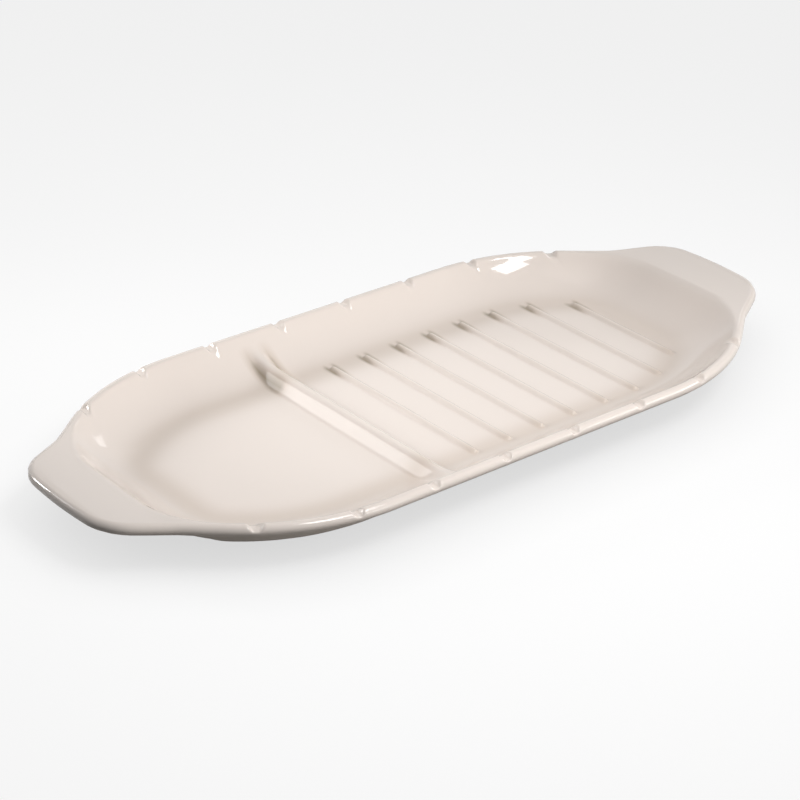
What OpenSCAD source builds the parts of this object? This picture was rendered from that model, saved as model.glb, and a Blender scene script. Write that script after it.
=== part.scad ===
// Asparagus plate in glazed stoneware: a long dish with a small sauce end and a ribbed bed.
// A low divider parts the two, the long rims are notched, and a flat handle grows from each end.
// It is fired as one body. Each named feature is a solid that meets its neighbours face to face.
// Millimetres. X runs along the plate towards the ribbed end, Z is up and Z = 0 is the table.

/* [Plate] */
// Overall length, handle end to handle end
plate_l = 391; // [360:1:430]
// Overall width across the two long rims
plate_w = 172; // [162:1:190]
// Thickness of the clay in floor, wall, rim and handles
clay_t = 5.5; // [4:0.25:7]
// Depth of the well, from the rim's top down to the floor
well_depth = 16; // [12:0.5:19]

/* [Well] */
// Length over which the mouth narrows, from a shoulder to its end
taper_l = 49; // [42:1:60]
// Width of the mouth's end, between its two corners before rounding
mouth_end_w = 85; // [76:1:94]
// Radius of the shoulders in plan
shoulder_r = 104; // [80:1:125]
// Radius of the mouth's end corners in plan
corner_r = 52; // [46:1:60]
// Slope of the long walls, measured from level
side_angle = 40; // [35:1:50]
// Slope of the end walls, measured from level
end_angle = 33; // [28:1:42]
// Radius of the hollow where the wall meets the floor
hollow_r = 16; // [8:1:18]
// Radius of the roll-over from a long wall to its rim
side_rollover_r = 9; // [7.5:0.5:12]
// Radius of the roll-over from an end wall to its handle
end_rollover_r = 14; // [8:0.5:18]

/* [Handles] */
// Reach of a handle out from the mouth's end
handle_l = 26.5; // [20:0.5:36]
// Distance of the necks, where the outline turns out into a handle, in from the mouth's end
neck_inset = 3.5; // [0:0.5:8]
// Radius of the necks in plan
neck_r = 20; // [10:1:50]
// Width of a handle's end, between its two corners before rounding
handle_end_w = 61; // [54:1:68]
// Radius of the handles' corners in plan
handle_corner_r = 22; // [12:1:24]
// How far the middle of a handle's end stands out past its corners before rounding
handle_bow = 2; // [0.5:0.25:3]
// Radius of the bowed end in plan
handle_end_r = 200; // [100:10:240]
// How far a handle's end stands above the rim
handle_rise = 2.6; // [0:0.2:6]

/* [Notches] */
// Distance of the outermost notches in from the ends of a long rim
notch_end_gap = 10; // [6:0.5:20]
// Number of notches in each long rim
notch_n = 8; // [2:2:8]
// Depth of a notch below the rim's top
notch_depth = 2.2; // [1:0.1:3]
// Radius of the groove that cuts a notch
notch_r = 3; // [2.5:0.1:4]

/* [Ribs] */
// Distance of the first rib from the middle of the divider
rib_first_gap = 29; // [18:0.5:40]
// Distance of the last rib from the end of the level floor
rib_last_gap = 5.5; // [4:0.5:20]
// Width of a rib where it leaves the floor
rib_w = 4.4; // [3:0.1:6]
// Height of a rib above the floor
rib_h = 1.8; // [1:0.1:2.2]
// Level floor left between a rib's end and the hollow of the wall
rib_end_gap = 1.5; // [0.5:0.1:4]

/* [Divider] */
// Length of the sauce end, from the mouth's end to the middle of the divider
sauce_l = 130; // [105:1:145]
// Height of the divider above the floor
divider_h = 6.2; // [4:0.2:8]
// Radius of the divider's rounded crown
divider_r = 6; // [5:0.2:8]
// Radius of the hollow on each side of the divider's base
divider_hollow_r = 3; // [1:0.5:5]

/* [Foot] */
// Height of the foot ring below the floor
foot_h = 2.5; // [1.5:0.25:5]
// Width of the foot ring
foot_w = 5; // [3:0.5:7]
// Distance of the foot ring in from the ends of the level floor
foot_inset = 2; // [1:0.5:4]

/* [Hidden] */

$fn = 64;
rib_n = 8;

// Steps along each round stretch of the plan and of the section
shoulder_steps = 12;
neck_steps = 4;
handle_corner_steps = 9;
handle_end_steps = 4;
hollow_steps = 6;
rollover_steps = 6;
edge_steps = 10;

// Levels above the table
floor_z = foot_h + clay_t;
rim_z = floor_z + well_depth;

// Half-round edge of rim and handles
edge_r = clay_t / 2;

// Plan of the mouth, for one quarter of the plate
mouth_l = plate_l - 2 * handle_l;
mouth_w = plate_w - 2 * edge_r;
shoulder_at = [mouth_l / 2 - taper_l, mouth_w / 2];
mouth_end_at = [mouth_l / 2, mouth_end_w / 2];
slant = aim(shoulder_at, mouth_end_at);
corner_turn = atan2(slant.x, -slant.y);
corner_tangent = corner_r * tan(corner_turn / 2);
corner_centre = [mouth_l / 2 - corner_r, mouth_end_at.y - corner_tangent];
corner_arc = corner_r * corner_turn * PI / 180;
shoulder_room = norm(mouth_end_at - shoulder_at) - corner_tangent;
shoulder_fit_r = fitted(shoulder_r, shoulder_room, 90 - corner_turn);

// Seam between a long rim and a handle, where the slant of the mouth meets its end corner
seam_at = mouth_end_at - slant * corner_tangent;

// Plan of a handle's edge, for one quarter of the plate
bow_angle = atan(2 * handle_bow / handle_end_w);
handle_end_at = [plate_l / 2 - edge_r + handle_end_r * (1 / cos(bow_angle) - 1), 0];
handle_corner_at = [handle_end_at.x - handle_bow, handle_end_w / 2];
neck_at = seam_at + slant * ((mouth_l / 2 - neck_inset - seam_at.x) / slant.x);
handle_corner_turn = turn_of(aim(neck_at, handle_corner_at), aim(handle_corner_at, handle_end_at));
handle_corner_tangent = handle_corner_r * tan(abs(handle_corner_turn) / 2);
neck_turn = turn_of(slant, aim(neck_at, handle_corner_at));
neck_fit_r = fitted(neck_r, norm(handle_corner_at - neck_at) - handle_corner_tangent, neck_turn);
handle_end_room = norm(handle_end_at - handle_corner_at) - handle_corner_tangent;
handle_end_fit_r = fitted(handle_end_r, handle_end_room, 2 * bow_angle);

// Height of wall that belongs to the rim, so that no notch reaches the well
rim_skirt = notch_depth;

// Places along the plate of notches, divider and ribs
notch_pitch = 2 * (seam_at.x - notch_end_gap) / (notch_n - 1);
divider_x = sauce_l - mouth_l / 2;
rib_first_x = divider_x + rib_first_gap;
rib_last_x = mouth_l / 2 - wall_run(1) - rib_last_gap;
rib_pitch = (rib_last_x - rib_first_x) / (rib_n - 1);

// Distance of the foot ring's outer side in from the mouth
foot_outer_inset = max(wall_run(0), wall_run(1)) + foot_inset;

// One overrun serves all cuts
overrun = 1;

color_glaze = "#efe6dc";
color_rim = "#f1e8de";
color_handle = "#e6dad0";
color_rib = "#f4ece3";
color_foot = "#d8c8b4";

// Unit vector from one plan point to another
function aim(a, b) = (b - a) / norm(b - a);

// Outward normal of a direction, on a plan that runs anticlockwise
function outward(u) = [u.y, -u.x];

// Angle from one direction to another
function turn_of(u, w) = atan2(u.x * w.y - u.y * w.x, u * w);

// Radius of a corner, limited by the room along its sides
function fitted(r, room, turn) = min(r, room / tan(abs(turn) / 2));

// A plan vector turned anticlockwise
function turned(v, angle) = [
    v.x * cos(angle) - v.y * sin(angle),
    v.x * sin(angle) + v.y * cos(angle)
];

// A plan vector seen in the mirror of the X axis
function mirrored(v) = [v.x, -v.y];

// A point on a circle
function on_circle(centre, r, angle) = centre + r * [cos(angle), sin(angle)];

// A value between two others
function between(a, b, share) = a + (b - a) * share;

// A share from 0 to 1 eased at both ends
function eased(share) = share * share * (3 - 2 * share);

// Stations round one corner of a plan path; a station is [point, outward normal, end share],
// and its end share runs from 0 beside the long walls to 1 beside the end walls
function round_corner(before, at, after, r, steps) =
    let (
        u = aim(before, at),
        w = aim(at, after),
        turn = turn_of(u, w),
        side = sign(turn),
        start = at - u * r * tan(abs(turn) / 2),
        centre = start - side * r * outward(u)
    )
    [
        for (i = [0 : steps])
            let (normal = turned(outward(u), turn * i / steps))
            [centre + side * r * normal, normal, 0]
    ];

// Stations along a plan path whose inner vertices are rounded
function round_path(vertices, radii, steps) =
    let (last = len(vertices) - 1)
    concat(
        [[vertices[0], outward(aim(vertices[0], vertices[1])), 0]],
        [
            for (i = [1 : last - 1])
                each round_corner(vertices[i - 1], vertices[i], vertices[i + 1], radii[i - 1], steps[i - 1])
        ],
        [[vertices[last], outward(aim(vertices[last - 1], vertices[last])), 0]]
    );

// Distance walked along a row of stations up to each of them
function walked(stations, i = 0, sum = 0) =
    i == len(stations) ? [] :
    let (step = i == 0 ? 0 : norm(stations[i][0] - stations[i - 1][0]))
    concat([sum + step], walked(stations, i + 1, sum + step));

// Station of the mouth's right end at a distance along it, from front to back
function mouth_end_station(distance) =
    let (
        flat = 2 * corner_centre.y,
        past = distance - corner_arc - flat,
        angle = distance < corner_arc ? (distance - corner_arc) / corner_arc * corner_turn
              : past > 0 ? past / corner_arc * corner_turn
              : 0,
        normal = [cos(angle), sin(angle)],
        centre = distance < corner_arc ? mirrored(corner_centre)
               : past > 0 ? corner_centre
               : mirrored(corner_centre) + [0, distance - corner_arc]
    )
    [centre + corner_r * normal, normal, eased(1 - abs(angle) / corner_turn)];

// Edge of the right handle, from the front seam round to the back seam
handle_edge = round_path(
    [
        mirrored(seam_at), mirrored(neck_at), mirrored(handle_corner_at), handle_end_at,
        handle_corner_at, neck_at, seam_at
    ],
    [neck_fit_r, handle_corner_r, handle_end_fit_r, handle_corner_r, neck_fit_r],
    [neck_steps, handle_corner_steps, handle_end_steps, handle_corner_steps, neck_steps]
);

// Mouth beside the right handle, one station for each station of its edge
handle_walk = walked(handle_edge);
handle_mouth = [
    for (w = handle_walk)
        mouth_end_station(w / handle_walk[len(handle_walk) - 1] * (2 * corner_arc + 2 * corner_centre.y))
];

// Mouth along the back rim, from the right seam to the left one
rim_mouth = round_path(
    [seam_at, shoulder_at, [-shoulder_at.x, shoulder_at.y], [-seam_at.x, seam_at.y]],
    [shoulder_fit_r, shoulder_fit_r],
    [shoulder_steps, shoulder_steps]
);

// A row of stations turned half round the plate
function across(stations) = [for (s = stations) [-s[0], -s[1], s[2]]];

// A row of stations without its last one
function but_last(stations) = [for (i = [0 : len(stations) - 2]) stations[i]];

// Mouth all the way round, anticlockwise from the right handle's front seam
mouth = concat(
    but_last(handle_mouth), but_last(rim_mouth),
    but_last(across(handle_mouth)), but_last(across(rim_mouth))
);

// Slope of the wall, radius of its roll-over and distance from the mouth to the level floor
function wall_angle(share) = between(side_angle, end_angle, share);
function rollover_r(share) = between(side_rollover_r, end_rollover_r, share);
function wall_run(share) =
    (rollover_r(share) + hollow_r) * tan(wall_angle(share) / 2) + well_depth / tan(wall_angle(share));

// Places of the section, as [distance out from the mouth, height]: on the hollow at the wall's
// foot, on the roll-over at its top, and at the seam between them, square to the wall
function hollow_place(share, depth, turn) =
    on_circle([-wall_run(share), floor_z + hollow_r], hollow_r + depth, wall_angle(share) * turn - 90);
function rollover_place(share, depth, turn) =
    on_circle([0, rim_z - rollover_r(share)], rollover_r(share) - depth, 90 + wall_angle(share) * turn);
function seam_place(share, depth) =
    rollover_place(share, depth, 1) - rim_skirt * [cos(wall_angle(share)), sin(wall_angle(share))];

// Section of the wall's upper face from the floor to the seam
function wall_top(share) = concat(
    [for (i = [0 : hollow_steps]) hollow_place(share, 0, i / hollow_steps)],
    [seam_place(share, 0)]
);

// Section of the wall's lower face from the seam back to the floor
function wall_under(share) = concat(
    [seam_place(share, clay_t)],
    [for (i = [hollow_steps : -1 : 0]) hollow_place(share, clay_t, i / hollow_steps)]
);

// A place of the section set out at a station of the plan
function set_out(station, place) = [
    station[0].x + place.x * station[1].x,
    station[0].y + place.x * station[1].y,
    place.y
];

// Closed section of rim or handle between a station of the mouth and one of the edge
function rim_section(mouth_station, edge_station, rise) =
    let (
        share = mouth_station[2],
        edge_centre = [0, rim_z + rise - edge_r]
    )
    concat(
        [set_out(mouth_station, seam_place(share, 0))],
        [
            for (i = [rollover_steps : -1 : 1])
                set_out(mouth_station, rollover_place(share, 0, i / rollover_steps))
        ],
        [
            for (i = [0 : edge_steps])
                set_out(edge_station, on_circle(edge_centre, edge_r, 90 - 180 * i / edge_steps))
        ],
        [
            for (i = [1 : rollover_steps])
                set_out(mouth_station, rollover_place(share, clay_t, i / rollover_steps))
        ],
        [set_out(mouth_station, seam_place(share, clay_t))]
    );

// Sections all along a rim or handle, whose edge rises with its distance from the mouth
function rim_sections(mouth_stations, edge_stations) =
    let (
        last = len(mouth_stations) - 1,
        widths = [for (i = [0 : last]) norm(edge_stations[i][0] - mouth_stations[i][0])],
        widest = max(widths)
    )
    [
        for (i = [0 : last])
            rim_section(
                mouth_stations[i],
                edge_stations[i],
                widest > 0 ? handle_rise * widths[i] / widest : 0
            )
    ];

// Two triangles of a skin between rows of points
function skin_faces(a, b, row) = [[a, b, a + row], [b, b + row, a + row]];

// Solid through a row of closed sections, capped at both ends
module loft(sections) {
    row = len(sections[0]);
    last = (len(sections) - 1) * row;
    skin = [
        for (i = [0 : len(sections) - 2], j = [0 : row - 1])
            each skin_faces(i * row + j, i * row + (j + 1) % row, row)
    ];
    caps = [
        [for (j = [row - 1 : -1 : 0]) j],
        [for (j = [0 : row - 1]) last + j]
    ];
    polyhedron([for (s = sections) each s], concat(skin, caps));
}

// Plan outlines at a distance in from the mouth, and in from the edge of the level floor
function mouth_outline(inset) = [for (s = mouth) s[0] - inset * s[1]];
function floor_outline(inset) = [for (s = mouth) s[0] - (wall_run(s[2]) + inset) * s[1]];

// Half width of an outline at a place along the plate
function half_width(outline, x) =
    let (count = len(outline))
    max([
        for (i = [0 : count - 1])
            let (a = outline[i], b = outline[(i + 1) % count])
            if (a.x != b.x && (a.x - x) * (b.x - x) <= 0)
                a.y + (b.y - a.y) * (x - a.x) / (b.x - a.x)
    ]);

// Grooves across both long rims
module notch_grooves() {
    for (i = [0 : notch_n - 1])
        translate([(i - (notch_n - 1) / 2) * notch_pitch, 0, rim_z - notch_depth + notch_r])
            rotate([90, 0, 0])
                cylinder(r = notch_r, h = plate_w + 2 * overrun, center = true);
}

// Floor and sloping wall, one shell up to the seam under the rim
module well() {
    rows = [
        for (s = mouth)
            [for (p = concat(wall_top(s[2]), wall_under(s[2]))) set_out(s, p)]
    ];
    row = len(rows[0]);
    count = len(rows);
    skin = [
        for (i = [0 : count - 1], j = [0 : row - 2])
            let (a = i * row + j, c = ((i + 1) % count) * row + j)
            each [[a, a + 1, c], [a + 1, c + 1, c]]
    ];
    floors = [
        [for (i = [0 : count - 1]) i * row],
        [for (i = [count - 1 : -1 : 0]) i * row + row - 1]
    ];
    color(color_glaze)
        polyhedron([for (r = rows) each r], concat(skin, floors));
}

// Rounded long rim with its notches
module long_rim() {
    difference() {
        loft(rim_sections(rim_mouth, rim_mouth));
        notch_grooves();
    }
}

module back_rim() {
    color(color_rim)
        long_rim();
}

module front_rim() {
    color(color_rim)
        rotate([0, 0, 180])
            long_rim();
}

module right_handle() {
    color(color_handle)
        loft(rim_sections(handle_mouth, handle_edge));
}

module left_handle() {
    color(color_handle)
        loft(rim_sections(across(handle_mouth), across(handle_edge)));
}

// Section of the divider: a round crown with a hollow at each side of its base
module divider_section() {
    crown_y = divider_h - divider_r;
    reach = divider_r + divider_hollow_r;
    hollow_x = sqrt(reach * reach - (divider_hollow_r - crown_y) * (divider_hollow_r - crown_y));
    touch = [hollow_x, divider_hollow_r - crown_y] * divider_r / reach + [0, crown_y];
    intersection() {
        translate([-hollow_x, 0])
            square([2 * hollow_x, divider_h]);
        union() {
            translate([0, crown_y])
                circle(r = divider_r);
            difference() {
                polygon([[-hollow_x, 0], [hollow_x, 0], touch, [-touch.x, touch.y]]);
                for (side = [-1, 1])
                    translate([side * hollow_x, divider_hollow_r])
                        circle(r = divider_hollow_r);
            }
        }
    }
}

// Hollow of the plate across its straight sides, as a section to trim the divider by
module hollow_section() {
    half = [for (p = wall_top(0)) [shoulder_at.y + p.x, p.y]];
    polygon(concat(
        half,
        [for (i = [len(half) - 1 : -1 : 0]) [-half[i].x, half[i].y]]
    ));
}

// Low ridge across the plate between the sauce end and the ribbed bed
module divider() {
    color(color_glaze)
        intersection() {
            translate([divider_x, mouth_w / 2, floor_z])
                rotate([90, 0, 0])
                    linear_extrude(mouth_w)
                        divider_section();
            translate([divider_x - mouth_w / 2, 0, 0])
                rotate([90, 0, 90])
                    linear_extrude(mouth_w)
                        hollow_section();
        }
}

// Low round rib across the floor, with round ends
module drain_rib(i) {
    x = rib_first_x + (i - 1) * rib_pitch;
    r = (rib_h * rib_h + rib_w * rib_w / 4) / (2 * rib_h);
    room = floor_outline(rib_end_gap + rib_w / 2);
    reach = half_width(room, x);
    color(color_rib)
        translate([x, 0, floor_z])
            intersection() {
                translate([0, 0, rib_h - r])
                    union() {
                        rotate([90, 0, 0])
                            cylinder(r = r, h = 2 * reach, center = true);
                        for (side = [-1, 1])
                            translate([0, side * reach, 0])
                                sphere(r = r);
                    }
                translate([-rib_w, -reach - rib_w, 0])
                    cube([2 * rib_w, 2 * (reach + rib_w), rib_w]);
            }
}

// Unglazed ring under the floor
module foot_ring() {
    color(color_foot)
        linear_extrude(foot_h)
            difference() {
                polygon(mouth_outline(foot_outer_inset));
                polygon(mouth_outline(foot_outer_inset + foot_w));
            }
}

well();
back_rim();
front_rim();
left_handle();
right_handle();
divider();
for (i = [1 : rib_n])
    drain_rib(i);
foot_ring();
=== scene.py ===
import math

import bpy
import numpy as np
from mathutils import Matrix, Vector
from mathutils.kdtree import KDTree


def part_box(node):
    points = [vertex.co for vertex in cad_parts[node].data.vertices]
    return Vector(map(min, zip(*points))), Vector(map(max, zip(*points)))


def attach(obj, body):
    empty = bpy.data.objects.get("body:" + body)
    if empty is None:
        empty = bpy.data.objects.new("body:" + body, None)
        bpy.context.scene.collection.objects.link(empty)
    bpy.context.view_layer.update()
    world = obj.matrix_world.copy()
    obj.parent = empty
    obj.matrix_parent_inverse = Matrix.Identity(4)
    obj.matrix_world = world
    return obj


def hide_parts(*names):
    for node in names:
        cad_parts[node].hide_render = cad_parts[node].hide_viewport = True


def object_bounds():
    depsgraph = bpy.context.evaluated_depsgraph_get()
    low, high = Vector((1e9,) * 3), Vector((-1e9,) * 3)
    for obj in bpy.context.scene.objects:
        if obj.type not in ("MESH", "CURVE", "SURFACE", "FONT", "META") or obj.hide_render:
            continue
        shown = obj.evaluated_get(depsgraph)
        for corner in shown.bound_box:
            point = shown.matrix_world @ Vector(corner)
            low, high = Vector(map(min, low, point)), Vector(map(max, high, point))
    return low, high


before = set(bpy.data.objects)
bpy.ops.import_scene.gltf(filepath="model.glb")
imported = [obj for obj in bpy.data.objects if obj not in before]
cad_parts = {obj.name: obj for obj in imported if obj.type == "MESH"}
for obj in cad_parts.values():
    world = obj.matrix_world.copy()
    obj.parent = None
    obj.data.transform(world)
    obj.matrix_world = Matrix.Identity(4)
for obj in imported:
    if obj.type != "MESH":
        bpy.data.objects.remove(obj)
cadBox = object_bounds()
mm = 0.001
ribNames = sorted(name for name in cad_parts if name.startswith("drain_rib_"))
glazedNodes = [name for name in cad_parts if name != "foot_ring"]
print("frame loaded:", len(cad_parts), "nodes")


# what the plate measures, from the frame where a node's box gives it
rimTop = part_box("back_rim")[1].z
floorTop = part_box("drain_rib_1")[0].z
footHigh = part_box("foot_ring")[1].z
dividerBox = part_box("divider")
plate = dict(
    length=cadBox[1].x - cadBox[0].x,
    width=cadBox[1].y - cadBox[0].y,
    clay=floorTop - footHigh,
    depth=rimTop - floorTop,
    handleReach=26.5 * mm,
    handleRise=cadBox[1].z - rimTop,
    taper=49 * mm,  # from a shoulder to the mouth's end
    endWidth=85 * mm,
    shoulderRadius=104 * mm,
    cornerRadius=52 * mm,
    rimRoll=3 * mm,
    rimSlope=math.radians(45),  # steepest just below the rim, easing all the way to the floor
    sideAngle=math.radians(40),  # of the lower face, here along the sides and next at the ends
    sideRoll=9 * mm,
    endAngle=math.radians(33),
    endRoll=14 * mm,
    hollowRadius=16 * mm,
    neckInset=3.5 * mm,
    neckRadius=20 * mm,
    handleWidth=61 * mm,
    handleCorner=22 * mm,
    handleBow=2 * mm,
    handleEndRadius=200 * mm,
    lipCuts=11,
    lipThinAndShade=(0.4, 0.8),  # where the coat thins and shade is painted, of the way round the lip
    softness=2,  # higher is a tighter hollow where ridges meet the wall
    footPoolAndShade=(31 * mm, 8 * mm),  # where shade is painted round the foot of the wall, over some pooled glaze, in from the rim, and its half width
    poolAndShadeShare=0.5,  # how dark the painted shade is there, of its darkness where a ridge runs into the back wall
)
rib = dict(
    height=1.6 * mm,
    crown=1.9 * mm,
    hollow=1.2 * mm,
    steepest=math.radians(55),
    flank=2.3 * mm,  # where the painted shadow lies beside it, and how far along it
    flankReach=1.9 * mm,
    shadowAlong=(-15 * mm, -6 * mm, 0, 4 * mm),
    near=3.5 * mm,  # the grid is fine this far to each side
    places=[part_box(name) for name in ribNames],
)
divider = dict(
    x=(dividerBox[0].x + dividerBox[1].x) / 2,
    height=dividerBox[1].z - floorTop,
    crown=4 * mm,
    hollow=2.5 * mm,
    steepest=math.radians(48),
    climb=0.85,  # how far up the wall it runs, of the depth
    flank=5.2 * mm,
    flankReach=4.4 * mm,
    shadowAlong=(-40 * mm, -35 * mm, -16 * mm, -5 * mm),
    near=10 * mm,
)
notch = dict(
    count=8,
    endGap=10 * mm,
    depth=2.2 * mm,
    bottom=1.2 * mm,  # half widths
    top=3.0 * mm,
    ease=0.2,
    softness=4,
    near=3.4 * mm,
)
meshing = dict(
    curveStep=0.2 * mm,
    coarse=2.8 * mm,  # columns, along the plate
    fine=0.5 * mm,
    rowCoarse=0.05,  # rows, across it, in shares of the half width
    rowFine=0.009,
    rowBusy=(0.62, 0.95),  # where the ribs end, and at the rim
    rowNear=0.08,
    walkPoints=20001,
    cornerShare=0.42,  # where the grid's corners lie, of the handle's width
)


def unit(v):
    return v / np.linalg.norm(v)


def turnOf(u, w):
    return math.atan2(u[0] * w[1] - u[1] * w[0], u @ w)


# points about a step apart along a path, in a whole number of steps
def evenlySpaced(points, step, whole):
    walk = np.concatenate([[0], np.cumsum(np.linalg.norm(np.diff(points, axis=0), axis=1))])
    even = np.linspace(0, walk[-1], whole(walk[-1] / step) + 1)
    return np.column_stack([np.interp(even, walk, points[:, k]) for k in (0, 1)])


# of a closed loop that runs anticlockwise
def outwardNormals(loop):
    along = np.roll(loop, -1, axis=0) - np.roll(loop, 1, axis=0)
    along /= np.linalg.norm(along, axis=1)[:, None]
    return np.column_stack([along[:, 1], -along[:, 0]])


# an open path with rounded corners
def roundedPath(corners, radii):
    step = meshing["curveStep"]
    points = [corners[0]]
    for i, radius in enumerate(radii):
        at = corners[i + 1]
        u, w = unit(at - corners[i]), unit(corners[i + 2] - at)
        turn = turnOf(u, w)
        tangent = radius * math.tan(abs(turn) / 2)
        start = at - u * tangent
        centre = start + math.copysign(radius, turn) * np.array([-u[1], u[0]])
        steps = max(2, math.ceil(abs(turn) * radius / step))
        angles = np.linspace(0, turn, steps + 1)
        arm = start - centre
        points += [centre + [arm[0] * math.cos(a) - arm[1] * math.sin(a),
                             arm[0] * math.sin(a) + arm[1] * math.cos(a)] for a in angles]
    points.append(corners[-1])
    return evenlySpaced(np.array(points), step, math.ceil)


# a quarter of the mouth and of the outer edge, from the middle of the right end to the middle of the back
def quarterOutlines():
    lip = plate["clay"] / 2
    mouthEnd = plate["length"] / 2 - plate["handleReach"]
    side = plate["width"] / 2 - lip
    shoulder = np.array([mouthEnd - plate["taper"], side])
    corner = np.array([mouthEnd, plate["endWidth"] / 2])
    slant = unit(corner - shoulder)
    turn = math.atan2(slant[0], -slant[1])
    seam = corner - slant * plate["cornerRadius"] * math.tan(turn / 2)
    middle = np.array([0.0, side])
    mouth = roundedPath(
        [np.array([mouthEnd, 0.0]), corner, shoulder, middle],
        [plate["cornerRadius"], plate["shoulderRadius"]],
    )
    bow = math.atan(2 * plate["handleBow"] / plate["handleWidth"])
    tip = np.array([plate["length"] / 2 - lip + plate["handleEndRadius"] * (1 / math.cos(bow) - 1), 0.0])
    handleCorner = np.array([tip[0] - plate["handleBow"], plate["handleWidth"] / 2])
    neck = seam + slant * (mouthEnd - plate["neckInset"] - seam[0]) / slant[0]
    edge = roundedPath(
        [handleCorner * [1, -1], tip, handleCorner, neck, shoulder, middle],
        [plate["handleEndRadius"], plate["handleCorner"], plate["neckRadius"], plate["shoulderRadius"]],
    )
    edge = edge[edge[:, 1] >= 0]
    return mouth, edge, turn, seam


# the quarter mirrored round all four sides
def closedOutline(quarter):
    back = np.concatenate([quarter[:-1], (quarter * [-1, 1])[::-1]])
    return np.concatenate([back[:-1], -back[:-1]])


def nearestOn(loop, points):
    tree = KDTree(len(loop))
    for i, p in enumerate(loop):
        tree.insert((p[0], p[1], 0), i)
    tree.balance()
    return np.array([tree.find((p[0], p[1], 0))[1] for p in points])


mouthQuarter, edgeQuarter, cornerTurn, seamAt = quarterOutlines()
mouthLoop, edgeLoop = closedOutline(mouthQuarter), closedOutline(edgeQuarter)
mouthOut, edgeOut = outwardNormals(mouthLoop), outwardNormals(edgeLoop)
notch["pitch"] = 2 * (seamAt[0] - notch["endGap"]) / (notch["count"] - 1)
notch["places"] = [(i - (notch["count"] - 1) / 2) * notch["pitch"] for i in range(notch["count"])]
tabReach = plate["handleReach"] - plate["clay"] / 2
print("outlines drawn:", len(mouthLoop), "mouth points,", len(edgeLoop), "edge points")


# how far out from the mouth, less than 0 inside it, and which way out is
def outFromMouth(points):
    index = nearestOn(mouthLoop, points)
    out = mouthOut[index]
    return np.sum((points - mouthLoop[index]) * out, axis=1), out


# 0 beside the long walls, 1 beside the end walls, eased round the mouth's corners
def endShare(out):
    angle = np.arctan2(np.abs(out[:, 1]), np.abs(out[:, 0]))
    share = np.clip(1 - angle / cornerTurn, 0, 1)
    return share * share * (3 - 2 * share)


def tabRise(distance):
    return np.maximum(distance, 0) * plate["handleRise"] / tabReach


# height of the upper face
def wallHeight(distance):
    roll, steep = plate["rimRoll"], math.tan(plate["rimSlope"])
    rollEnd = roll * math.sin(plate["rimSlope"])
    sweepTop = plate["depth"] - roll * (1 - math.cos(plate["rimSlope"]))
    sweep = 2 * sweepTop / steep
    inward = np.maximum(-distance, 0)
    crest = rimTop - roll + np.sqrt(roll**2 - np.minimum(inward, rollEnd)**2)
    hollow = floorTop + sweepTop * np.clip(1 - (inward - rollEnd) / sweep, 0, 1)**2
    return np.where(inward < rollEnd, crest, hollow) + tabRise(distance)


# height of the lower face, which turns out more gently below the rim
def clayHeight(distance, share):
    angle = plate["sideAngle"] + (plate["endAngle"] - plate["sideAngle"]) * share
    roll = plate["sideRoll"] + (plate["endRoll"] - plate["sideRoll"]) * share
    run = (roll + plate["hollowRadius"]) * np.tan(angle / 2) + plate["depth"] / np.tan(angle)
    over, hollow = roll - plate["clay"], plate["hollowRadius"] + plate["clay"]
    inward = np.maximum(-distance, 0)
    overEnd, hollowStart = over * np.sin(angle), run - hollow * np.sin(angle)
    crest = rimTop - roll + np.sqrt(np.maximum(over**2 - np.minimum(inward, overEnd)**2, 0))
    slope = crest - np.maximum(inward - overEnd, 0) * np.tan(angle)
    reach = np.clip(run - inward, 0, hollow * np.sin(angle))
    foot = floorTop + plate["hollowRadius"] - np.sqrt(hollow**2 - reach**2)
    return np.where(inward < hollowStart, slope, foot) + tabRise(distance)


# round-topped ridge, straight below at its steepest, with a hollow on each side of its base
def ridgeHeight(away, ridge):
    height, crown, hollow = ridge["height"], ridge["crown"], ridge["hollow"]
    rise = 1 - math.cos(ridge["steepest"])
    crownEnd, hollowRun = crown * math.sin(ridge["steepest"]), hollow * math.sin(ridge["steepest"])
    straight = (height - (crown + hollow) * rise) / math.tan(ridge["steepest"])
    reach = crownEnd + straight + hollowRun
    away = np.abs(away)
    top = height - crown + np.sqrt(crown**2 - np.minimum(away, crownEnd)**2)
    top -= np.clip(away - crownEnd, 0, straight) * math.tan(ridge["steepest"])
    side = hollow - np.sqrt(hollow**2 - np.clip(reach - away, 0, hollowRun)**2)
    return np.where(away < reach - hollowRun, top, side)


def softMax(a, b, power):
    return (a**power + b**power)**(1 / power)


# straight-sided nicks with eased corners
def notchDrop(x):
    away = np.min([np.abs(x - place) for place in notch["places"]], axis=0)
    share = (notch["top"] - away) / (notch["top"] - notch["bottom"])
    ease = notch["ease"]
    low = np.clip(share + ease, 0, 2 * ease)**2 / (4 * ease) + np.maximum(share - ease, 0)
    high = np.clip(share - 1 + ease, 0, 2 * ease)**2 / (4 * ease) + np.maximum(share - 1 - ease, 0)
    return notch["depth"] * (low - high)


# wall, ridges and notches, run into each other
def topHeight(points):
    wall = wallHeight(outFromMouth(points)[0])
    x, y = points[:, 0], points[:, 1]
    ridges = ridgeHeight(x - divider["x"], divider)
    for low, high in rib["places"]:
        halfWidth = (high.x - low.x) / 2
        past = np.maximum(np.abs(y) - (high.y - halfWidth), 0)
        away = np.hypot(x - (low.x + high.x) / 2, past)
        ridges = np.maximum(ridges, ridgeHeight(away, rib))
    rise = np.maximum(wall - floorTop, 0)
    ridges *= 1 - np.clip(rise / (divider["climb"] * plate["depth"]), 0, 1)**2
    height = floorTop + softMax(rise, ridges, plate["softness"])
    crest = np.maximum(wall, rimTop)
    return crest - softMax(crest - height, notchDrop(x), notch["softness"])


def underHeight(points):
    distance, out = outFromMouth(points)
    return np.minimum(clayHeight(distance, endShare(out)), wallHeight(distance) - plate["clay"])
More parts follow.
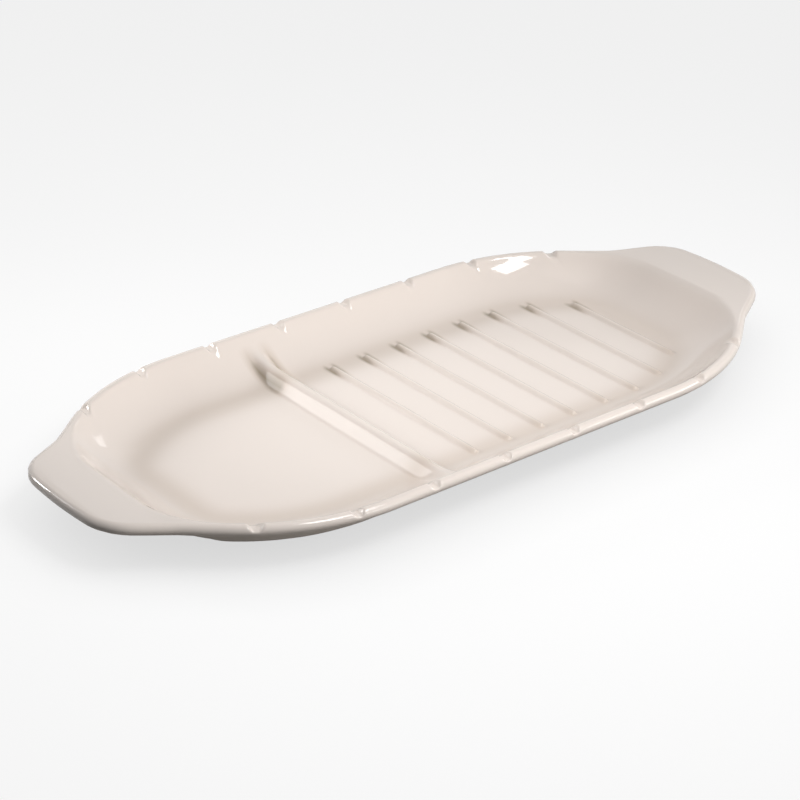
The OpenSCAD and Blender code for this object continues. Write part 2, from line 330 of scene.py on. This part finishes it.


# how much shade is painted: some round the foot of the wall, partly for pooled glaze, up to 1 for the
# painted shadow where a ridge runs into the back wall
def poolAndPaintedShade(points):
    inward = -outFromMouth(points)[0]
    middle, spread = plate["footPoolAndShade"]
    depth = plate["poolAndShadeShare"] * np.exp(-((inward - middle) / spread)**2)
    x, y = points[:, 0], points[:, 1]
    # painted shadow of the back wall on each ridge's flanks, near its back end only
    ridges = [(divider["x"], plate["width"] / 2 - plate["clay"] / 2, divider)]
    ridges += [((low.x + high.x) / 2, high.y, rib) for low, high in rib["places"]]
    for place, end, ridge in ridges:
        side = np.clip(1 - np.abs(np.abs(x - place) - ridge["flank"]) / ridge["flankReach"], 0, 1)
        along = np.interp(y - end, ridge["shadowAlong"], (0, 1, 1, 0))
        depth += (1 - depth) * side * along
    return depth


# places between two ends that crowd together near the given (centre, half width)
def crowded(low, high, coarse, fine, busy):
    walk = np.linspace(low, high, meshing["walkPoints"])
    spacing = np.full_like(walk, coarse)
    for centre, reach in busy:
        past = np.clip((np.abs(walk - centre) - reach) / reach, 0, 1)
        spacing = np.minimum(spacing, fine + (coarse - fine) * past)
    total = np.concatenate([[0], np.cumsum((walk[1] - walk[0]) / spacing[1:])])
    return np.interp(np.linspace(0, total[-1], round(total[-1]) + 1), total, walk)


def gridLines(corner):
    busy = [((low.x + high.x) / 2, rib["near"]) for low, high in rib["places"]]
    busy += [(x, notch["near"]) for x in notch["places"]]
    busy.append((divider["x"], divider["near"]))
    columns = crowded(-corner[0], corner[0], meshing["coarse"], meshing["fine"], busy)
    busy = [(side * share, meshing["rowNear"]) for side in (-1, 1) for share in meshing["rowBusy"]]
    rows = crowded(-1, 1, meshing["rowCoarse"], meshing["rowFine"], busy)
    return columns, rows


# the flat grid spread out to the outer edge, its last columns bent like the handles' ends
def gridPlan(flat, columns, rows, corner):
    column = np.rint((flat[:, 0] + 1) / 2 * (len(columns) - 1)).astype(int)
    row = np.rint((flat[:, 1] + 1) / 2 * (len(rows) - 1)).astype(int)
    sidePart = edgeQuarter[edgeQuarter[:, 0] <= corner[0]]
    sidePart = sidePart[np.argsort(sidePart[:, 0])]
    halfWidths = np.interp(np.abs(columns), sidePart[:, 0], sidePart[:, 1])
    endPart = edgeQuarter[edgeQuarter[:, 1] <= corner[1]]
    endPart = endPart[np.argsort(endPart[:, 1])]
    bowed = np.interp(np.abs(rows) * corner[1], endPart[:, 1], endPart[:, 0]) - corner[0]
    follow = np.clip((np.abs(columns) - seamAt[0]) / (corner[0] - seamAt[0]), 0, 1)**2 * np.sign(columns)
    return np.column_stack([
        columns[column] + bowed[row] * follow[column],
        rows[row] * halfWidths[column],
    ])


def coordsOf(obj):
    coords = np.empty(len(obj.data.vertices) * 3)
    obj.data.vertices.foreach_get("co", coords)
    return coords.reshape(-1, 3)


def setCoords(obj, coords):
    obj.data.vertices.foreach_set("co", coords.ravel())
    obj.data.update()


def faceOutwards():
    bpy.ops.object.mode_set(mode="EDIT")
    bpy.ops.mesh.select_all(action="SELECT")
    bpy.ops.mesh.normals_make_consistent(inside=False)
    bpy.ops.object.mode_set(mode="OBJECT")


# the straight band between the two faces swells into a half-round lip
def swellLip(body, lip):
    coords = coordsOf(body)
    radius = plate["clay"] / 2
    edgeIndex = nearestOn(edgeLoop, coords[lip, :2])
    mouthIndex = nearestOn(mouthLoop, coords[lip, :2])
    away = np.linalg.norm(coords[lip, :2] - mouthLoop[mouthIndex], axis=1)
    crest = rimTop + tabRise(away)
    drop = notchDrop(coords[lip, 0])
    upper = crest - drop
    lower = crest - 2 * radius
    turnShare = (upper - coords[lip, 2]) / (upper - lower)
    turned = turnShare * math.pi
    coords[lip, :2] += edgeOut[edgeIndex] * (radius * np.sin(turned))[:, None]
    coords[lip, 2] = crest - softMax(radius * (1 - np.cos(turned)), drop, notch["softness"])
    setCoords(body, coords)
    return turnShare


# one continuous glazed body: a grid draped over the inside, its copy underneath, and a rounded lip between
def makePlate():
    cornerAt = meshing["cornerShare"] * plate["handleWidth"]
    corner = edgeQuarter[np.argmin(np.abs(edgeQuarter[:, 1] - cornerAt))]
    columns, rows = gridLines(corner)
    bpy.ops.object.select_all(action="DESELECT")
    bpy.ops.mesh.primitive_grid_add(x_subdivisions=len(columns) - 1, y_subdivisions=len(rows) - 1, size=2)
    body = bpy.context.object
    body.name = "glazedPlate"
    flat = coordsOf(body)
    plan = gridPlan(flat, columns, rows, corner)
    setCoords(body, np.column_stack([plan, topHeight(plan)]))

    bpy.ops.object.mode_set(mode="EDIT")
    bpy.ops.mesh.select_all(action="SELECT")
    bpy.ops.mesh.duplicate()
    bpy.ops.mesh.flip_normals()
    bpy.ops.object.mode_set(mode="OBJECT")
    coords = coordsOf(body)
    under = np.arange(len(flat), 2 * len(flat))
    coords[under, 2] = underHeight(coords[under, :2])
    setCoords(body, coords)

    bpy.ops.object.mode_set(mode="EDIT")
    bpy.ops.mesh.select_mode(type="EDGE")
    bpy.ops.mesh.select_all(action="DESELECT")
    bpy.ops.mesh.select_non_manifold()
    bpy.ops.mesh.bridge_edge_loops(number_cuts=plate["lipCuts"])
    bpy.ops.object.mode_set(mode="OBJECT")
    lip = np.arange(2 * len(flat), len(body.data.vertices))
    turnShare = swellLip(body, lip)

    # painted shade and painted shadow inside the plate
    depth = np.zeros(len(body.data.vertices))
    depth[:len(flat)] = poolAndPaintedShade(plan)
    # painted shade underneath and down the lip's outside, with a thinner, duller coat there
    thinAndShade = np.zeros(len(body.data.vertices))
    thinShadeStart, thinShadeEnd = plate["lipThinAndShade"]
    thinAndShade[lip] = np.clip((turnShare - thinShadeStart) / (thinShadeEnd - thinShadeStart), 0, 1)
    thinAndShade[under] = 1
    for name, values in (("poolAndPaintedShade", depth), ("glazeThinAndShade", thinAndShade)):
        body.data.attributes.new(name, "FLOAT", "POINT").data.foreach_set("value", values)

    faceOutwards()
    bpy.ops.object.shade_smooth()
    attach(body, "root")
    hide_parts(*glazedNodes)
    print("plate draped:", len(columns), "columns,", len(rows), "rows,", len(body.data.polygons), "faces")
    return body


footRing = dict(
    width=5 * mm,
    round=1.2 * mm,
    roundSteps=4,
    step=3 * mm,  # a torus takes 256 steps at most
    sharpAngle=math.radians(35),
    upright=0.1,  # a side face's normal rises less than this
    digits=6,  # corners that agree this far, in metres, are one
)


# outer edge of the standing ring's solid, evenly spaced
def ringEdge():
    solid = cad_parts["foot_ring"].data
    corners = set()
    for face in solid.polygons:
        if abs(face.normal.z) < footRing["upright"] and face.normal.xy.dot(face.center.xy) > 0:
            places = [solid.vertices[v].co.xy for v in face.vertices]
            corners.update(tuple(round(c, footRing["digits"]) for c in place) for place in places)
    corners = sorted(corners, key=lambda p: math.atan2(p[1], p[0]))
    return evenlySpaced(np.array(corners + corners[:1]), footRing["step"], round)[:-1]


# the standing ring: a torus drawn out along that edge, flat on top and rounded below
def makeFootRing():
    edge = ringEdge()
    width, radius = footRing["width"], footRing["round"]
    angles = np.linspace(0, math.pi / 2, footRing["roundSteps"] + 1)
    inner = [(radius * (1 - math.cos(a)) - width, radius * (1 - math.sin(a))) for a in angles]
    outer = [(-radius * (1 - math.sin(a)), radius * (1 - math.cos(a))) for a in angles]
    section = np.array([(0, footHigh), (-width, footHigh)] + inner + outer)
    bpy.ops.object.select_all(action="DESELECT")
    bpy.ops.mesh.primitive_torus_add(major_segments=len(edge), minor_segments=len(section))
    ring = bpy.context.object
    ring.name = "footRing"
    plan = edge[:, None, :] + outwardNormals(edge)[:, None, :] * section[None, :, :1]
    height = np.broadcast_to(section[None, :, 1:], plan.shape[:2] + (1,))
    setCoords(ring, np.concatenate([plan, height], axis=2).reshape(-1, 3))
    faceOutwards()
    bpy.ops.object.shade_smooth_by_angle(angle=footRing["sharpAngle"])
    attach(ring, "root")
    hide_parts("foot_ring")
    print("foot ring swept:", len(ring.data.polygons), "faces")
    return ring


glaze = dict(
    cream=(0.82, 0.735, 0.673, 1),
    cloudy=(0.80, 0.715, 0.653, 1),
    # painted shade round the foot of the wall, over some pooled glaze
    pooledAndShaded=(0.69, 0.595, 0.52, 1),
    # painted shadow at the back ends of the ridges
    corner=(0.38, 0.31, 0.23, 1),
    thinAndShade=(0.70, 0.58, 0.46, 1),  # painted shade underneath and down the lip's outside, over clay showing through where the coat is thin and dull
    thinAndShadeShare=0.5,
    dullness=0.62,
    cloudScale=11,
    roughness=(0.035, 0.07),
    rippleDepth=0.05 * mm,
)
bareClay = dict(
    buff=(0.62, 0.52, 0.41, 1),
    dark=(0.42, 0.33, 0.24, 1),
    darkShare=0.7,
    cloudScale=60,
    roughness=(0.72, 0.92),
    grainDepth=0.12 * mm,
)
mottle = dict(
    cloud=dict(Detail=3, Roughness=0.45),
    grain=dict(Detail=2, Roughness=0.6),
    finer=18,  # the grain's scale, of the clouds'
    span=(0.3, 0.7),  # between which the noise mostly runs
)


def addNode(tree, kind, **values):
    node = tree.nodes.new("ShaderNode" + kind)
    for name, value in values.items():
        node.inputs[name].default_value = value
    return node


# soft clouds and a fine grain, shared by the glaze and the bare clay
def makeMottle():
    group = bpy.data.node_groups.new("firedMottle", "ShaderNodeTree")
    group.interface.new_socket("Vector", in_out="INPUT", socket_type="NodeSocketVector")
    group.interface.new_socket("Scale", in_out="INPUT", socket_type="NodeSocketFloat")
    group.interface.new_socket("Cloud", in_out="OUTPUT", socket_type="NodeSocketFloat")
    group.interface.new_socket("Grain", in_out="OUTPUT", socket_type="NodeSocketFloat")
    entry = group.nodes.new("NodeGroupInput")
    leave = group.nodes.new("NodeGroupOutput")
    finer = group.nodes.new("ShaderNodeMath")
    finer.operation = "MULTIPLY"
    finer.inputs[1].default_value = mottle["finer"]
    cloud = addNode(group, "TexNoise", **mottle["cloud"])
    grain = addNode(group, "TexNoise", **mottle["grain"])
    for noise in (cloud, grain):
        group.links.new(entry.outputs["Vector"], noise.inputs["Vector"])
    group.links.new(entry.outputs["Scale"], cloud.inputs["Scale"])
    group.links.new(entry.outputs["Scale"], finer.inputs[0])
    group.links.new(finer.outputs[0], grain.inputs["Scale"])
    group.links.new(cloud.outputs["Fac"], leave.inputs["Cloud"])
    group.links.new(grain.outputs["Fac"], leave.inputs["Grain"])
    return group


def newMaterial(name):
    material = bpy.data.materials.new(name)
    material.use_nodes = True
    tree = material.node_tree
    return material, tree, tree.nodes["Principled BSDF"]


def mottled(tree, group, scale):
    place = tree.nodes.new("ShaderNodeTexCoord")
    marks = tree.nodes.new("ShaderNodeGroup")
    marks.node_tree = group
    marks.inputs["Scale"].default_value = scale
    tree.links.new(place.outputs["Object"], marks.inputs["Vector"])
    return marks.outputs


def ranged(tree, socket, source, target):
    mapped = tree.nodes.new("ShaderNodeMapRange")
    mapped.inputs["From Min"].default_value, mapped.inputs["From Max"].default_value = source
    mapped.inputs["To Min"].default_value, mapped.inputs["To Max"].default_value = target
    tree.links.new(socket, mapped.inputs["Value"])
    return mapped.outputs["Result"]


def blended(tree, amount, first, second):
    mix = tree.nodes.new("ShaderNodeMix")
    mix.data_type = "RGBA"
    tree.links.new(amount, mix.inputs["Factor"])
    for socket, value in ((mix.inputs[6], first), (mix.inputs[7], second)):  # its two colours
        if isinstance(value, tuple):
            socket.default_value = value
        else:
            tree.links.new(value, socket)
    return mix.outputs[2]


def attribute(tree, name):
    node = tree.nodes.new("ShaderNodeAttribute")
    node.attribute_name = name
    return node.outputs["Fac"]


def bumped(tree, shader, height, depth):
    bump = addNode(tree, "Bump", Strength=1, Distance=depth)
    tree.links.new(height, bump.inputs["Height"])
    tree.links.new(bump.outputs["Normal"], shader.inputs["Normal"])


def glazeMaterial(group):
    material, tree, shader = newMaterial("creamGlaze")
    cloud = mottled(tree, group, glaze["cloudScale"])["Cloud"]
    depth = attribute(tree, "poolAndPaintedShade")
    thinAndShade = attribute(tree, "glazeThinAndShade")
    footShadeLevel = plate["poolAndShadeShare"]
    colour = blended(tree, ranged(tree, cloud, mottle["span"], (0, 1)), glaze["cream"], glaze["cloudy"])
    # painted shade round the foot of the wall, over some pooled glaze
    colour = blended(tree, ranged(tree, depth, (0, footShadeLevel), (0, 1)), colour, glaze["pooledAndShaded"])
    # painted shadow where the ridges run into the back wall
    colour = blended(tree, ranged(tree, depth, (footShadeLevel, 1), (0, 1)), colour, glaze["corner"])
    # painted shade underneath and down the lip's outside, over a thinner coat
    colour = blended(tree, ranged(tree, thinAndShade, (0, 1), (0, glaze["thinAndShadeShare"])), colour, glaze["thinAndShade"])
    tree.links.new(colour, shader.inputs["Base Color"])
    duller = tree.nodes.new("ShaderNodeMath")
    tree.links.new(ranged(tree, cloud, mottle["span"], glaze["roughness"]), duller.inputs[0])
    tree.links.new(ranged(tree, thinAndShade, (0, 1), (0, glaze["dullness"])), duller.inputs[1])
    tree.links.new(duller.outputs[0], shader.inputs["Roughness"])
    bumped(tree, shader, cloud, glaze["rippleDepth"])
    return material


def clayMaterial(group):
    material, tree, shader = newMaterial("bareClay")
    marks = mottled(tree, group, bareClay["cloudScale"])
    darker = ranged(tree, marks["Grain"], mottle["span"], (0, bareClay["darkShare"]))
    tree.links.new(blended(tree, darker, bareClay["buff"], bareClay["dark"]), shader.inputs["Base Color"])
    rough = ranged(tree, marks["Cloud"], mottle["span"], bareClay["roughness"])
    tree.links.new(rough, shader.inputs["Roughness"])
    bumped(tree, shader, marks["Grain"], bareClay["grainDepth"])
    return material


def dress(obj, material):
    obj.data.materials.clear()
    obj.data.materials.append(material)
    print("dressed:", obj.name, "in", material.name)


# the photograph's viewpoint
view = dict(
    azimuth=math.radians(-39.275),
    elevation=math.radians(27.542),
    roll=math.radians(0.722),
    distance=1118.647 * mm,
    offset=(8.738 * mm, 11.528 * mm),
    aimHeight=22.7 * mm,
    focalPixels=2419.185,
    imagePixels=800,
    sensor=36,
    clip=(0.05, 50),
)


def makeCamera():
    a, e, r = view["azimuth"], view["elevation"], view["roll"]
    back = Vector((math.sin(a) * math.cos(e), -math.cos(a) * math.cos(e), math.sin(e)))
    level = Vector((math.cos(a), math.sin(a), 0))
    steep = back.cross(level)
    right = level * math.cos(r) + steep * math.sin(r)
    up = steep * math.cos(r) - level * math.sin(r)
    place = Vector((0, 0, view["aimHeight"])) + back * view["distance"]
    place -= right * view["offset"][0] + up * view["offset"][1]
    bpy.ops.object.camera_add(location=place)
    camera = bpy.context.object
    camera.rotation_euler = Matrix((right, up, back)).transposed().to_euler()
    camera.data.sensor_width = view["sensor"]
    camera.data.lens = view["focalPixels"] / view["imagePixels"] * view["sensor"]
    camera.data.clip_start, camera.data.clip_end = view["clip"]
    bpy.context.scene.camera = camera
    print("camera placed, lens", round(camera.data.lens), "mm")


stage = dict(
    floorSize=12.0,
    floorColour=(0.14, 0.14, 0.14, 1),
    floorRoughness=0.9,
    floorGlow=0.86,
    white=(1.0, 1.0, 1.0, 1),
    ambient=0.05,
    shadowReach=40 * mm,
    shadowDepth=0.26,
    aimHeight=10 * mm,
)


# one value for the rays that show the background itself, another for the light that falls on things
def shownOrLit(tree, shown, lit):
    path = tree.nodes.new("ShaderNodeLightPath")
    direct = tree.nodes.new("ShaderNodeMath")
    tree.links.new(path.outputs["Is Camera Ray"], direct.inputs[0])
    tree.links.new(path.outputs["Is Glossy Ray"], direct.inputs[1])
    either = tree.nodes.new("ShaderNodeMath")
    either.use_clamp = True
    tree.links.new(direct.outputs[0], either.inputs[0])
    tree.links.new(path.outputs["Is Transmission Ray"], either.inputs[1])
    strength = tree.nodes.new("ShaderNodeMix")
    strength.inputs["A"].default_value = lit
    strength.inputs["B"].default_value = shown
    tree.links.new(either.outputs[0], strength.inputs["Factor"])
    return strength.outputs["Result"]


def makeFloor():
    bpy.ops.object.select_all(action="DESELECT")
    bpy.ops.mesh.primitive_plane_add(size=stage["floorSize"])
    floor = bpy.context.object
    floor.name = "paleFloor"
    material, tree, shader = newMaterial("paleFloor")
    shader.inputs["Base Color"].default_value = stage["floorColour"]
    shader.inputs["Roughness"].default_value = stage["floorRoughness"]
    shader.inputs["Specular IOR Level"].default_value = 0
    shade = addNode(tree, "AmbientOcclusion", Distance=stage["shadowReach"])
    deep = 1 - stage["shadowDepth"]
    near = blended(tree, shade.outputs["AO"], (deep, deep, deep, 1), stage["white"])
    tree.links.new(near, shader.inputs["Emission Color"])
    tree.links.new(shownOrLit(tree, stage["floorGlow"], 0), shader.inputs["Emission Strength"])
    dress(floor, material)


def makeRoom():
    world = bpy.data.worlds.new("paleRoom")
    bpy.context.scene.world = world
    world.use_nodes = True
    tree = world.node_tree
    background = tree.nodes["Background"]
    background.inputs["Color"].default_value = stage["white"]
    tree.links.new(shownOrLit(tree, 1, stage["ambient"]), background.inputs["Strength"])


# softboxes round the table: compass, height, turn and spread in degrees, power in watts, the rest in metres
softbox = dict(away=0.9, aim=-0.045, turn=0, spread=60)
lamps = dict(
    backLow=dict(compass=126, height=19, away=0.6, size=(0.22, 0.11), aim=-0.012, spread=36, power=0.1),
    backPanel=dict(compass=130, height=30, away=1.0, size=(0.21, 0.21), aim=0, power=0.055),
    front=dict(compass=280, height=58, size=(0.4, 0.3), aim=-0.003, power=0.65),
    frontHigh=dict(compass=315.7, height=63.9, size=(0.171, 0.104), turn=-24.6, power=0.1),
    frontRightLow=dict(compass=320, height=20, size=(0.4, 0.2), power=0.24),
    frontLow=dict(compass=285, height=16, size=(0.4, 0.2), power=0.17),
    overhead=dict(compass=0, height=88, size=(0.4, 0.4), power=0.03),
    endGlint=dict(compass=27.1, height=28, away=0.853, size=(0.1, 0.09), power=0.0065),
    backRightPanel=dict(compass=51, height=31, size=(0.45, 0.2), power=0.01),
)


def makeLamp(name, lamp):
    compass, tilt = math.radians(lamp["compass"]), math.radians(lamp["height"])
    toward = Vector((
        math.cos(tilt) * math.cos(compass),
        math.cos(tilt) * math.sin(compass),
        math.sin(tilt),
    ))
    bpy.ops.object.light_add(type="AREA", location=toward * lamp["away"])
    light = bpy.context.object
    light.name = name
    aim = Vector((lamp["aim"], 0, stage["aimHeight"]))
    facing = (light.location - aim).to_track_quat("Z", "Y").to_matrix()
    light.rotation_euler = (facing @ Matrix.Rotation(math.radians(lamp["turn"]), 3, "Z")).to_euler()
    light.data.shape = "RECTANGLE"
    light.data.size, light.data.size_y = lamp["size"]
    light.data.energy = lamp["power"]
    light.data.spread = math.radians(lamp["spread"])


body = makePlate()
ring = makeFootRing()
firedMottle = makeMottle()
dress(body, glazeMaterial(firedMottle))
dress(ring, clayMaterial(firedMottle))
makeCamera()
makeFloor()
makeRoom()
for lampName, lampValues in lamps.items():
    makeLamp(lampName, {**softbox, **lampValues})
print("stage set:", len(lamps), "lamps")
bpy.context.scene.view_settings.view_transform = "Standard"
